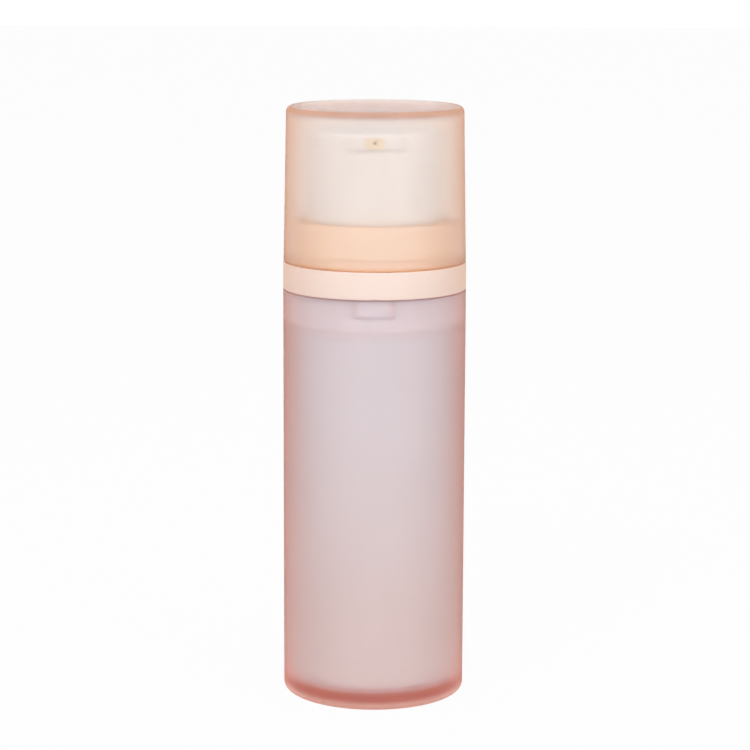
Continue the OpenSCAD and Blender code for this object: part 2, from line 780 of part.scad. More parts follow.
module head_shell() {
    dish_r = head_top_r - head_round - dish_rim;
    turned(concat(
        [[head_r - head_wall, head_bottom], [head_r - edge, head_bottom], [head_r, head_bottom + edge]],
        arc(head_top_r - head_round, head_top - head_round, head_round, 0, 90),
        [for (i = [0:round_steps]) let (s = 1 - i / round_steps)
            [dish_r * s, head_top - dish * (1 - s * s)]],
        [[0, head_ceiling], [head_top_r - head_wall, head_ceiling]]
    ));
}

module brow() {
    intersection() {
        turned(concat(
            [[head_top_r - head_wall, brow_bottom], [brow_r - brow_round, brow_bottom]],
            arc(brow_r - brow_round, brow_bottom + brow_round, brow_round, -90, 0),
            arc(brow_r - head_round, head_top - head_round, head_round, 0, 90),
            [[head_top_r - head_round, head_top], [head_top_r - head_wall, head_top - head_round]]
        ));
        translate([0, 0, brow_bottom]) at_front(brow_w, brow_r + over, brow_h + over);
    }
}

module actuator() {
    duct_bottom = spout_z - duct_r - duct_wall;
    duct_w = insert_w + 2 * duct_wall;
    pocket_w = insert_w + 2 * run_gap;
    pocket_h = insert_h + 2 * run_gap;
    rib_l = head_top_r - head_wall / 2;
    rib_bottom = head_ceiling - head_rib_h;
    color([0.98, 0.97, 0.96]) difference() {
        union() {
            head_shell();
            brow();
            translate([0, 0, socket_bottom]) cylinder(r = socket_r, h = head_ceiling + eps - socket_bottom);
            translate([0, 0, duct_bottom]) at_front(duct_w, rib_l, head_ceiling + eps - duct_bottom);
            for (turn = [0:90:180])
                rotate(turn) translate([0, -head_rib_t / 2, rib_bottom])
                    cube([rib_l, head_rib_t, head_ceiling + eps - rib_bottom]);
        }
        translate([0, 0, socket_bottom - over])
            cylinder(r = socket_bore_r, h = socket_top - socket_bottom + over);
        translate([0, 0, socket_bottom]) cylinder(r = stem_bore_r, h = spout_z + duct_r - socket_bottom);
        translate([0, 0, spout_z]) rotate([90, 0, 0]) cylinder(r = duct_r, h = insert_front);
        translate([-pocket_w / 2, -brow_r - over, spout_z - pocket_h / 2])
            cube([pocket_w, brow_r + over - insert_back + run_gap, pocket_h]);
    }
}

module spout_insert() {
    color([0.9, 0.83, 0.74]) difference() {
        translate([-insert_w / 2, -insert_front, spout_z - insert_h / 2])
            cube([insert_w, insert_l, insert_h]);
        translate([-spout_w / 2, -insert_front - over, spout_z - spout_h / 2])
            cube([spout_w, spout_depth + over, spout_h]);
        translate([0, 0, spout_z]) rotate([90, 0, 0])
            cylinder(r = duct_r, h = insert_front - spout_depth / 2);
    }
}

module overcap() {
    ceiling_r = cap_inside(cap_ceiling - cap_bottom);
    rib_z = flange_top + seat_rib_z - snap_rib_w - stop_gap;
    inner_ribs = rib(cap_bore_r, -cap_rib, rib_z, snap_rib_w);
    color([0.96, 0.76, 0.64]) turned(concat(
        [[cap_bore_r + edge, cap_bottom], [cap_mouth_r - edge, cap_bottom]],
        [[cap_mouth_r, cap_bottom + edge]],
        arc(cap_top_r - cap_round, cap_top - cap_round, cap_round, 0, 90),
        [[0, cap_top], [0, cap_ceiling]],
        arc(ceiling_r - cap_inner_round, cap_ceiling - cap_inner_round, cap_inner_round, 90, 0),
        [for (i = [3:-1:0]) inner_ribs[i]]
    ));
}

outer_bottle();
inner_bottle();
foot_disc();
follower_piston();
collar();
guide_sleeve();
pump_closure();
neck_gasket();
neck_plug();
pump_body();
inlet_ball();
ball_cage();
lower_stem();
pump_piston();
upper_stem();
return_spring();
chaplet();
actuator();
spout_insert();
overcap();
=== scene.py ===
"""Visual model of an airless pump bottle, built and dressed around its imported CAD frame.

The CAD nodes give every place and size. The pieces that show are modelled again with rounded edges, and the
pump's hidden pieces keep their CAD meshes. Sizes are in millimetres and the meshes are made in metres. The
bottle stands on z = 0, its axis is z, and the spout faces -y.
"""

from __future__ import annotations

import logging
import math
from collections.abc import Callable, Sequence
from dataclasses import dataclass, field
from enum import Enum
from functools import cached_property

import bmesh
import bpy
from mathutils import Matrix, Vector

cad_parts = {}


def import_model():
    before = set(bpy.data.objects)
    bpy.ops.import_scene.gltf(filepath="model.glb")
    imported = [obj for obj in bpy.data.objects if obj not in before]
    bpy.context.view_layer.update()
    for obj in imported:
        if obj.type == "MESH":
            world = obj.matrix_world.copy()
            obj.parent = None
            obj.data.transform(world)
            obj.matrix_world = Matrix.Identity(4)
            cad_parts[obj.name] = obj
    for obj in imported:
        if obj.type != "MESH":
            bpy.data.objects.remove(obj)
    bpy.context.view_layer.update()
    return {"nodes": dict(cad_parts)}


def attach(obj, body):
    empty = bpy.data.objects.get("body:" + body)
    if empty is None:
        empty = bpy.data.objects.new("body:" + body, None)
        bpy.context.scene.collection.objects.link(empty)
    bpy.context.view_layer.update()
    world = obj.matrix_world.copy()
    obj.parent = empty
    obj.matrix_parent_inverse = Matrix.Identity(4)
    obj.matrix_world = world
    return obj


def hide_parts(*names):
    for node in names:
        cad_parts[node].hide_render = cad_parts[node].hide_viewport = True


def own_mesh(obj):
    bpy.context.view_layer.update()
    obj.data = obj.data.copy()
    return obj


log = logging.getLogger("airless_pump_bottle")

MM = 0.001
STEPS = 192
SAME_POINT = 2e-6
SAME_PLACE = 0.01
BROKEN = 0.15
EASED = 0.3
RIB_WIDTH = 1.0
PAST = 1.0
PLASTIC_IOR = 1.49
CREASE = 32.0

Triple = tuple[float, float, float]
Colour = Triple
Piece = bpy.types.Object
Socket = bpy.types.NodeSocket


class Body(Enum):
    """The CAD bodies that pieces move with."""

    BOTTLE = "bottle"
    CAP = "cap"
    HEAD = "head"
    FOLLOWER = "follower"


class Cut(Enum):
    """How one solid changes another."""

    JOIN = "UNION"
    TAKE_AWAY = "DIFFERENCE"
    KEEP_SHARED = "INTERSECT"


class Pick(Enum):
    """What a selection in edit mode picks."""

    EDGES = "EDGE"
    FACES = "FACE"


# Modelling


@dataclass(frozen=True)
class Corner:
    """A corner of a turned profile.

    Args:
        radius: distance from the axis.
        height: height above the table.
        rounding: width of the rounded edge there, or 0 for a crisp one.
        facets: number of facets in the rounding.
    """

    radius: float
    height: float
    rounding: float = 0.0
    facets: int = 4

    def place(self) -> Vector:
        """The corner's place in metres."""
        return Vector((self.radius, 0, self.height)) * MM


def clear() -> None:
    """Deselects every object."""
    bpy.ops.object.select_all(action="DESELECT")


def take(piece: Piece) -> None:
    """Makes a piece the only selected and active object."""
    if bpy.context.object and bpy.context.object.mode != "OBJECT":
        bpy.ops.object.mode_set(mode="OBJECT")
    clear()
    piece.select_set(True)
    bpy.context.view_layer.objects.active = piece


def edit(piece: Piece) -> None:
    """Opens a piece in edit mode with all of it selected."""
    take(piece)
    bpy.ops.object.mode_set(mode="EDIT")
    bpy.ops.mesh.select_mode(type="VERT")
    bpy.ops.mesh.select_all(action="SELECT")


def done() -> None:
    """Leaves edit mode."""
    bpy.ops.object.mode_set(mode="OBJECT")


def pick(piece: Piece, test: Callable[[Vector], bool], what: Pick = Pick.EDGES) -> None:
    """Selects the parts of an open mesh whose points all pass a test on their place in millimetres.

    Args:
        piece: the object that is open in edit mode.
        test: says whether a point belongs.
        what: whether edges or faces are picked.
    """
    bpy.ops.mesh.select_all(action="DESELECT")
    bpy.ops.mesh.select_mode(type=what.value)
    mesh = bmesh.from_edit_mesh(piece.data)
    for part in mesh.edges if what is Pick.EDGES else mesh.faces:
        if all(test(point.co / MM) for point in part.verts):
            part.select_set(True)
    mesh.select_flush(True)
    bmesh.update_edit_mesh(piece.data)


def radius_of(place: Vector) -> float:
    """Distance of a place from the axis."""
    return math.hypot(place.x, place.y)


def ring_at(corner: Corner) -> Callable[[Vector], bool]:
    """A test for the points of the ring that a profile's corner makes."""
    return lambda place: (
        abs(radius_of(place) - corner.radius) < SAME_PLACE and abs(place.z - corner.height) < SAME_PLACE
    )


def named(name: str) -> Piece:
    """Names the object that was just added, and its data."""
    piece = bpy.context.object
    piece.name = piece.data.name = name
    return piece


def round_off(width: float, facets: int = 3) -> None:
    """Rounds the selected edges to a width in millimetres."""
    bpy.ops.mesh.bevel(offset=width * MM, segments=facets, profile=0.5)


def turned(name: str, corners: Sequence[Corner]) -> Piece:
    """Turns a closed profile once round the axis, then rounds the edges that ask for it.

    Args:
        name: name of the new object.
        corners: the profile's corners in order; the last joins the first unless both lie on the axis.

    Returns:
        The finished object.
    """
    clear()
    bpy.ops.mesh.primitive_plane_add(size=MM)
    piece = named(name)
    edit(piece)
    bpy.ops.mesh.merge(type="CENTER")
    bpy.ops.transform.translate(value=corners[0].place())
    on_axis = corners[0].radius == 0 and corners[-1].radius == 0
    route = list(corners) if on_axis else [*corners, corners[0]]
    for before, after in zip(route, route[1:]):
        bpy.ops.mesh.extrude_vertices_move(
            TRANSFORM_OT_translate={"value": after.place() - before.place()}
        )
    bpy.ops.mesh.select_all(action="SELECT")
    bpy.ops.mesh.remove_doubles(threshold=SAME_POINT)
    bpy.ops.mesh.spin(
        steps=STEPS, angle=math.radians(360.0), center=(0, 0, 0), axis=(0, 0, 1), use_auto_merge=True
    )
    bpy.ops.mesh.select_all(action="SELECT")
    bpy.ops.mesh.remove_doubles(threshold=SAME_POINT)
    bpy.ops.mesh.delete_loose()
    bpy.ops.mesh.select_all(action="SELECT")
    bpy.ops.mesh.normals_make_consistent(inside=False)
    for corner in corners:
        if corner.rounding:
            pick(piece, ring_at(corner))
            round_off(corner.rounding, corner.facets)
    done()
    return piece


def block(name: str, low: Sequence[float], high: Sequence[float]) -> Piece:
    """A new block between its lowest and its highest corner."""
    clear()
    bpy.ops.mesh.primitive_cube_add(size=1)
    piece = named(name)
    edit(piece)
    size = [(b - a) * MM for a, b in zip(low, high)]
    middle = [(a + b) / 2 * MM for a, b in zip(low, high)]
    bpy.ops.transform.resize(value=size)
    bpy.ops.transform.translate(value=middle)
    done()
    return piece


def rod(name: str, radius: float, start: Sequence[float], end: Sequence[float]) -> Piece:
    """A new round rod between the middles of its two ends."""
    a, b = Vector(start) * MM, Vector(end) * MM
    clear()
    bpy.ops.mesh.primitive_cylinder_add(vertices=64, radius=radius * MM, depth=(b - a).length)
    piece = named(name)
    piece.rotation_euler = (b - a).to_track_quat("Z", "Y").to_euler()
    piece.location = (a + b) / 2
    settle(piece)
    return piece


def settle(piece: Piece) -> None:
    """Puts a piece's place, turn and size into its mesh."""
    take(piece)
    bpy.ops.object.transform_apply(location=True, rotation=True, scale=True)


def change(piece: Piece, tool: Piece, how: Cut = Cut.TAKE_AWAY) -> None:
    """Joins a tool to a piece or cuts the piece with it, and removes the tool.

    Args:
        piece: the solid that changes.
        tool: the solid that changes it.
        how: what is done.
    """
    modifier = piece.modifiers.new("change", "BOOLEAN")
    modifier.operation = how.value
    modifier.object = tool
    modifier.solver = "EXACT"
    take(piece)
    bpy.ops.object.modifier_apply(modifier=modifier.name)
    bpy.data.objects.remove(tool)


def rib(radius: float, out: float, height: float, width: float = RIB_WIDTH) -> list[Corner]:
    """The corners of a snap rib on a wall, from its lower end up.

    Args:
        radius: radius of the wall.
        out: how far the rib stands out of it, negative for a rib on an inner wall.
        height: height of the rib's middle.
        width: width of the rib along the axis.

    Returns:
        Its four corners.
    """
    return [
        Corner(radius, height - width / 2),
        Corner(radius + out, height - width / 4),
        Corner(radius + out, height + width / 4),
        Corner(radius, height + width / 2),
    ]


# Finishes


def linear(colour: Colour) -> tuple[float, float, float, float]:
    """A display colour of 0 to 255 as Blender's linear colour."""
    shares = [c / 255 for c in colour]
    return (*(s / 12.92 if s <= 0.04045 else ((s + 0.055) / 1.055) ** 2.4 for s in shares), 1.0)


@dataclass(frozen=True)
class Shade:
    """A change of a finish's colour with height.

    Args:
        colour: the other colour.
        full: height from which all is that colour.
        gone: height from which none is.
    """

    colour: Colour
    full: float
    gone: float


class Graph:
    """The nodes of a material or world, with short calls that add and link them."""

    def __init__(self, owner: bpy.types.Material | bpy.types.World) -> None:
        """Opens the nodes of a new material or world."""
        owner.use_nodes = True
        self.owner = owner
        self.tree = owner.node_tree
        self.shader = self.tree.nodes.get("Principled BSDF") or self.tree.nodes["Background"]
        self.output = self.tree.nodes.get("Material Output") or self.tree.nodes["World Output"]

    @cached_property
    def place(self) -> Socket:
        """Place in the object's own coordinates, in metres."""
        return self.add("ShaderNodeTexCoord").outputs["Object"]

    @cached_property
    def height(self) -> Socket:
        """Height above the table, in metres."""
        return self.upward(self.place)

    def upward(self, vector: Socket) -> Socket:
        """The upward part of a vector."""
        split = self.add("ShaderNodeSeparateXYZ")
        self.link(vector, split.inputs["Vector"])
        return split.outputs["Z"]

    def seen(self) -> Socket:
        """A value of 1 for rays that look, mirror or pass through, and 0 for rays that light."""
        path = self.add("ShaderNodeLightPath")
        total = path.outputs["Is Camera Ray"]
        for name in ("Is Glossy Ray", "Is Transmission Ray"):
            total = self.join("MAXIMUM", total, path.outputs[name])
        return total

    def add(self, kind: str, **settings: object) -> bpy.types.Node:
        """Adds a node.

        Args:
            kind: Blender's name for the node.
            settings: attributes of the node, or values of its sockets by name.

        Returns:
            The node.
        """
        node = self.tree.nodes.new(kind)
        for key, value in settings.items():
            if hasattr(node, key):
                setattr(node, key, value)
            else:
                node.inputs[key.replace("_", " ")].default_value = value
        return node

    def link(self, source: Socket, target: Socket) -> None:
        """Links two sockets."""
        self.tree.links.new(source, target)

    def noise(self, size: float, detail: float = 2.0, stretch: Triple = (1, 1, 1)) -> Socket:
        """Soft noise in object space.

        Args:
            size: size of its blotches.
            detail: levels of finer noise on top.
            stretch: how much the noise is squeezed along each axis.

        Returns:
            Its value, from 0 to 1.
        """
        squeeze = self.add("ShaderNodeMapping")
        squeeze.inputs["Scale"].default_value = stretch
        noise = self.add("ShaderNodeTexNoise", Scale=1 / (size * MM), Detail=detail, Roughness=0.55)
        self.link(self.place, squeeze.inputs["Vector"])
        self.link(squeeze.outputs["Vector"], noise.inputs["Vector"])
        return noise.outputs["Fac"]

    def span(self, value: Socket, low: float, high: float, start: float = 0.3, end: float = 0.7) -> Socket:
        """Spreads a value between two limits.

        Args:
            value: the value.
            low: result at start.
            high: result at end.
            start: the value that gives low.
            end: the value that gives high.

        Returns:
            The result.
        """
        node = self.add("ShaderNodeMapRange")
        for name, number in zip(("From Min", "From Max", "To Min", "To Max"), (start, end, low, high)):
            node.inputs[name].default_value = number
        self.link(value, node.inputs["Value"])
        return node.outputs["Result"]

    def compare(self, what: str, value: Socket, limit: float) -> Socket:
        """Compares a length with a limit.

        Args:
            what: GREATER_THAN or LESS_THAN.
            value: the length, in metres.
            limit: the limit, in millimetres.

        Returns:
            1 where it holds and 0 elsewhere.
        """
        node = self.add("ShaderNodeMath", operation=what)
        node.inputs[1].default_value = limit * MM
        self.link(value, node.inputs[0])
        return node.outputs[0]

    def join(self, how: str, first: Socket, second: Socket) -> Socket:
        """Joins two values that are each 0 or 1.

        Args:
            how: MINIMUM for 1 where both are 1, or MAXIMUM for 1 where either is.
            first: one value.
            second: the other value.

        Returns:
            The joined value.
        """
        node = self.add("ShaderNodeMath", operation=how)
        self.link(first, node.inputs[0])
        self.link(second, node.inputs[1])
        return node.outputs["Value"]

    def radius(self) -> Socket:
        """Distance from the object's axis, in metres."""
        flat = self.add("ShaderNodeVectorMath", operation="MULTIPLY")
        flat.inputs[1].default_value = (1, 1, 0)
        reach = self.add("ShaderNodeVectorMath", operation="LENGTH")
        self.link(self.place, flat.inputs[0])
        self.link(flat.outputs[0], reach.inputs[0])
        return reach.outputs["Value"]

    def blend(self, share: Socket, first: Colour | Socket, second: Colour) -> Socket:
        """Blends two colours.

        Args:
            share: share of the second colour.
            first: colour at share 0, or a socket that gives it.
            second: colour at share 1.

        Returns:
            The blended colour.
        """
        node = self.add("ShaderNodeMix", data_type="RGBA")
        self.link(share, node.inputs["Factor"])
        if isinstance(first, Socket):
            self.link(first, node.inputs["A"])
        else:
            node.inputs["A"].default_value = linear(first)
        node.inputs["B"].default_value = linear(second)
        return node.outputs["Result"]

    def shaded(self, colour: Socket, shades: Sequence[Shade]) -> Socket:
        """The colour with its changes by height."""
        for shade in shades:
            share = self.span(self.height, 1.0, 0.0, shade.full * MM, shade.gone * MM)
            colour = self.blend(share, colour, shade.colour)
        return colour

    def bump(self, height: Socket, depth: float, strength: float) -> None:
        """Bumps the surface.

        Args:
            height: height of the surface, from 0 to 1.
            depth: depth between 0 and 1.
            strength: share of the effect that is kept.
        """
        node = self.add("ShaderNodeBump", Strength=strength, Distance=depth * MM)
        self.link(height, node.inputs["Height"])
        self.link(node.outputs["Normal"], self.shader.inputs["Normal"])


def dress(piece: Piece, material: bpy.types.Material) -> None:
    """Gives a piece one material alone."""
    piece.data.materials.clear()
    piece.data.materials.append(material)


@dataclass(frozen=True)
class Lacquer:
    """A satin lacquer, whose tint deepens where it is seen edge on.

    Args:
        tint: its colour seen straight on.
        rough: its roughness.
        ior: its index of refraction.
    """

    tint: Colour
    rough: float = 0.5
    ior: float = 1.1

    def coat(self, shader: bpy.types.Node) -> None:
        """Sets it as the coat of a shader."""
        shader.inputs["Coat Weight"].default_value = 1.0
        shader.inputs["Coat Roughness"].default_value = self.rough
        shader.inputs["Coat IOR"].default_value = self.ior
        shader.inputs["Coat Tint"].default_value = linear(self.tint)


@dataclass(frozen=True)
class Texture:
    """Fine texture of a plastic surface, with its sizes in millimetres.

    Args:
        clouds: size of the faint clouds of colour.
        patches: size of the patches where the roughness differs.
        spread: how much it differs.
        grain: size of the grain.
        depth: depth of the grain.
    """

    clouds: float = 7.0
    patches: float = 1.2
    spread: float = 0.05
    grain: float = 0.35
    depth: float = 0.004


@dataclass(frozen=True)
class Frosted:
    """Tinted see-through copolyester with a smooth inside and a frosted, lacquered outside.

    Args:
        slot: the record's material slot, which also names the material.
        face: colour that the milky share of the outside scatters.
        mottle: colour of the faint clouds in it.
        depth: colour that light takes on inside the wall.
        density: how fast it does, per metre.
        clear: share of light that passes through the frosting.
        rough: roughness of the frosting.
        inside_rough: roughness of the inside.
        inside_radius: a face nearer the axis than this, between the two heights, is inside.
        inside_low: the lower height.
        inside_high: the upper height.
        lacquer: the lacquer on the outside.
        ior: index of refraction.
        gloss: share of the usual mirror gloss.
        lacquer_high: height above which the lacquer is left off.
        shades: changes of the face colour with height.
        texture: texture of the frosting.
    """

    slot: str
    face: Colour
    mottle: Colour
    depth: Colour
    density: float
    clear: float
    rough: float
    inside_rough: float
    inside_radius: float
    inside_low: float
    inside_high: float
    lacquer: Lacquer
    ior: float = 1.2
    gloss: float = 0.3
    lacquer_high: float = 1000.0
    shades: tuple[Shade, ...] = ()
    texture: Texture = Texture(9.0, 1.6, 0.03, 0.22, 0.006)

    def outside(self, graph: Graph) -> Socket:
        """A value of 1 on the outside of the shell and 0 on its inside."""
        result = graph.compare("GREATER_THAN", graph.radius(), self.inside_radius)
        for what, height in (("LESS_THAN", self.inside_low), ("GREATER_THAN", self.inside_high)):
            result = graph.join("MAXIMUM", result, graph.compare(what, graph.height, height))
        return result

    def material(self) -> bpy.types.Material:
        """Makes the material."""
        graph = Graph(bpy.data.materials.new(f"{self.slot}_finish"))
        shader = graph.shader
        shader.inputs["IOR"].default_value = self.ior
        shader.inputs["Specular IOR Level"].default_value = self.gloss
        self.lacquer.coat(shader)
        outside = self.outside(graph)
        colour = graph.blend(graph.noise(self.texture.clouds, 3.0), self.face, self.mottle)
        graph.link(graph.shaded(colour, self.shades), shader.inputs["Base Color"])
        below = graph.compare("LESS_THAN", graph.height, self.lacquer_high)
        graph.link(graph.join("MINIMUM", outside, below), shader.inputs["Coat Weight"])
        graph.link(graph.span(outside, 1.0, self.clear, 0.0, 1.0), shader.inputs["Transmission Weight"])
        spread = self.texture.spread
        frosting = graph.span(graph.noise(self.texture.patches, 4.0), self.rough - spread, self.rough + spread)
        rough = graph.add("ShaderNodeMix")
        rough.inputs["A"].default_value = self.inside_rough
        graph.link(outside, rough.inputs["Factor"])
        graph.link(frosting, rough.inputs["B"])
        graph.link(rough.outputs["Result"], shader.inputs["Roughness"])
        graph.bump(graph.noise(self.texture.grain), self.texture.depth, 0.6)
        volume = graph.add("ShaderNodeVolumeAbsorption", Density=self.density)
        volume.inputs["Color"].default_value = linear(self.depth)
        graph.link(volume.outputs["Volume"], graph.output.inputs["Volume"])
        return graph.owner


@dataclass(frozen=True)
class Moulded:
    """Opaque moulded plastic.

    Args:
        slot: the record's material slot, which also names the material.
        colour: its colour.
        cloud: colour of its faint clouds.
        rough: roughness.
        glow: share of light that scatters under the surface.
        gloss: share of the usual mirror gloss.
        shades: changes of the colour with height.
        lacquer: the lacquer on it, or none.
        bare: height below which the lacquer is left off.
        texture: texture of its surface.
        scatter: share of each colour that scatters under the surface.
        scatter_depth: how far it does, in millimetres.
    """

    slot: str
    colour: Colour
    cloud: Colour
    rough: float = 0.38
    glow: float = 0.0
    gloss: float = 0.5
    shades: tuple[Shade, ...] = ()
    lacquer: Lacquer | None = None
    bare: float = 0.0
    texture: Texture = Texture()
    scatter: Triple = (1.0, 0.72, 0.6)
    scatter_depth: float = 1.5

    def material(self) -> bpy.types.Material:
        """Makes the material."""
        graph = Graph(bpy.data.materials.new(f"{self.slot}_finish"))
        shader = graph.shader
        shader.inputs["Specular IOR Level"].default_value = self.gloss
        shader.inputs["IOR"].default_value = PLASTIC_IOR
        if self.lacquer:
            self.lacquer.coat(shader)
            graph.link(graph.compare("GREATER_THAN", graph.height, self.bare), shader.inputs["Coat Weight"])
        if self.glow:
            shader.inputs["Subsurface Weight"].default_value = self.glow
            shader.inputs["Subsurface Radius"].default_value = self.scatter
            shader.inputs["Subsurface Scale"].default_value = self.scatter_depth * MM
        colour = graph.blend(graph.noise(self.texture.clouds, 3.0), self.colour, self.cloud)
        graph.link(graph.shaded(colour, self.shades), shader.inputs["Base Color"])
        patches, spread = graph.noise(self.texture.patches, 4.0), self.texture.spread
        graph.link(graph.span(patches, self.rough - spread, self.rough + spread), shader.inputs["Roughness"])
        graph.bump(graph.noise(self.texture.grain, 3.0), self.texture.depth, 0.5)
        return graph.owner


@dataclass(frozen=True)
class Steel:
    """Drawn stainless steel.

    Args:
        slot: the record's material slot, which also names the material.
        colour: its colour.
        streak: colour of the drawing marks.
        rough: roughness.
        mark_size: size of the marks across the drawing.
        mark: their depth.
        stretch: how much they are squeezed along each axis.
    """

    slot: str
    colour: Colour
    streak: Colour
    rough: float = 0.28
    mark_size: float = 0.5
    mark: float = 0.004
    stretch: Triple = (1, 1, 6)

    def material(self) -> bpy.types.Material:
        """Makes the material."""
        graph = Graph(bpy.data.materials.new(f"{self.slot}_finish"))
        graph.shader.inputs["Metallic"].default_value = 1.0
        marks = graph.noise(self.mark_size, 4.0, self.stretch)
        graph.link(graph.blend(marks, self.colour, self.streak), graph.shader.inputs["Base Color"])
        graph.link(graph.span(marks, self.rough - 0.06, self.rough + 0.08), graph.shader.inputs["Roughness"])
        graph.bump(marks, self.mark, 0.5)
        return graph.owner


Finish = Frosted | Moulded | Steel

FROSTED_PEACH = Frosted(
    "frosted_peach", face=(253, 254, 255), mottle=(250, 251, 252), depth=(253, 224, 212),
    density=75, clear=0.93, rough=0.47, inside_rough=0.25, inside_radius=21.1, inside_low=0.0, inside_high=145.4,
    lacquer=Lacquer((255, 249, 244), ior=1.03), lacquer_high=146.1,
    shades=(
        # Painted shade: an orange line painted on the lowest half millimetre of the cap, standing in for the shadow and
        # edge refraction at its mouth.
        Shade((250, 230, 210), 108.7, 108.9),
        # Painted edge glow: an orange ring painted round the top rim, standing in for light seen edge-on through the
        # top plate; the shade after it returns the top disc to its own colour.
        Shade((252, 238, 220), 145.3, 144.9),
        Shade((253, 254, 255), 146.3, 146.1),
    ),
)
FROSTED_PINK = Frosted(
    "frosted_pink", face=(247, 250, 255), mottle=(244, 247, 253), depth=(253, 221, 207),
    density=60, clear=0.87, rough=0.5, inside_rough=0.3, inside_radius=21.5, inside_low=2.3, inside_high=200.0,
    lacquer=Lacquer((255, 245, 242), ior=1.03), ior=1.25,
    shades=(
        # Painted shade: a darker mauve band painted from 6 mm down, standing in for the deeper colour of light through
        # the thick base, then lighter again in the lowest 2.6 mm.
        Shade((216, 168, 170), 3.4, 6.0),
        Shade((242, 224, 218), 1.0, 2.6),
        # Painted shade: a dark mauve line painted on the top of the rim, standing in for the shadow and edge refraction
        # at the seam under the collar.
        Shade((214, 186, 192), 101.35, 101.2),
    ),
)
PALE_PEACH = Moulded(
    "pale_peach", colour=(247, 238, 237), cloud=(244, 235, 234), rough=0.42, glow=0.2, gloss=0.35,
    lacquer=Lacquer((255, 241, 231)), bare=101.5,
    shades=(Shade((247, 250, 255), 101.5, 101.55), Shade((255, 253, 247), 108.4, 108.35)),
)
GLOSS_WHITE = Moulded("gloss_white", colour=(243, 249, 253), cloud=(240, 246, 251), rough=0.3, glow=0.1)
WHITE_PP = Moulded("white_pp", colour=(240, 240, 239), cloud=(236, 236, 236), rough=0.36)
NATURAL_PP = Moulded("natural_pp", colour=(232, 235, 237), cloud=(226, 229, 232), rough=0.42, glow=0.2)
PEARL_PP = Moulded(
    "pearl_pp", colour=(241, 251, 255), cloud=(238, 248, 253), rough=0.35, glow=0.1,
    shades=(Shade((241, 237, 232), 20.0, 70.0),),
)
SOFT_WHITE_PE = Moulded("soft_white_pe", colour=(238, 232, 231), cloud=(232, 226, 226), rough=0.5, glow=0.2)
GREY_SEAL = Moulded("grey_seal", colour=(200, 203, 207), cloud=(190, 194, 199), rough=0.75, texture=Texture(depth=0.02))
SPOUT_TAN = Moulded("spout_tan", colour=(250, 244, 228), cloud=(246, 238, 219), rough=0.4)
STEEL = Steel("steel", colour=(198, 200, 204), streak=(170, 173, 178))


def wear(piece: Piece, finish: Finish) -> None:
    """Gives a piece a finish's material alone, which is made on its first use."""
    dress(piece, bpy.data.materials.get(f"{finish.slot}_finish") or finish.material())


def hand_over(piece: Piece, finish: Finish, body: Body, node: str, crease: float = CREASE) -> None:
    """Smooths and dresses a piece, and says which body it moves with and which CAD node it stands for.

    Args:
        piece: the finished mesh.
        finish: its finish.
        body: the body that it moves with.
        node: the CAD node that it stands for.
        crease: angle in degrees from which an edge stays crisp.
    """
    take(piece)
    bpy.ops.object.shade_smooth_by_angle(angle=math.radians(crease))
    wear(piece, finish)
    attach(piece, body.value)
    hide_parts(node)
    log.info("%s stands for %s on %s: %d faces", piece.name, node, body.value, len(piece.data.polygons))


# Sub-assemblies


@dataclass
class OuterBottle:
    """The frosted outer bottle with its thick base."""

    radius: float = 22.5
    bore: float = 20.5
    height: float = 101.6
    base: float = 4.1
    foot_edge: float = 1.7
    foot_recess: float = 0.6
    recess_radius: float = 17.2
    rim_edge: float = 0.25
    groove_height: float = 93.8
    groove_width: float = 1.2
    groove_depth: float = 0.12
    slot_width: float = 9.8
    slot_height: float = 4.5
    slot_radius: float = 21.1

    def corners(self) -> list[Corner]:
        """The profile, from the middle of the foot round the outside to the middle of the base."""
        groove = rib(self.bore, self.groove_depth, self.groove_height, self.groove_width)
        return [
            Corner(0, self.foot_recess),
            Corner(self.recess_radius, self.foot_recess, EASED),
            Corner(self.recess_radius + self.foot_recess, 0, BROKEN),
            Corner(self.radius, 0, self.foot_edge, 10),
            Corner(self.radius, self.height, self.rim_edge),
            Corner(self.bore, self.height, 0.12),
            *reversed(groove),
            Corner(self.bore, self.base, EASED),
            Corner(0, self.base),
        ]

    def build(self) -> None:
        """Makes the shell and cuts the key's slot in its rim."""
        shell = turned("bottle_shell", self.corners())
        half = self.slot_width / 2
        low = self.height - self.slot_height
        slot = block("slot", (-half, -self.slot_radius, low), (half, -self.bore + PAST, self.height + PAST))
        change(shell, slot)
        hand_over(shell, FROSTED_PINK, Body.BOTTLE, "outer_bottle")


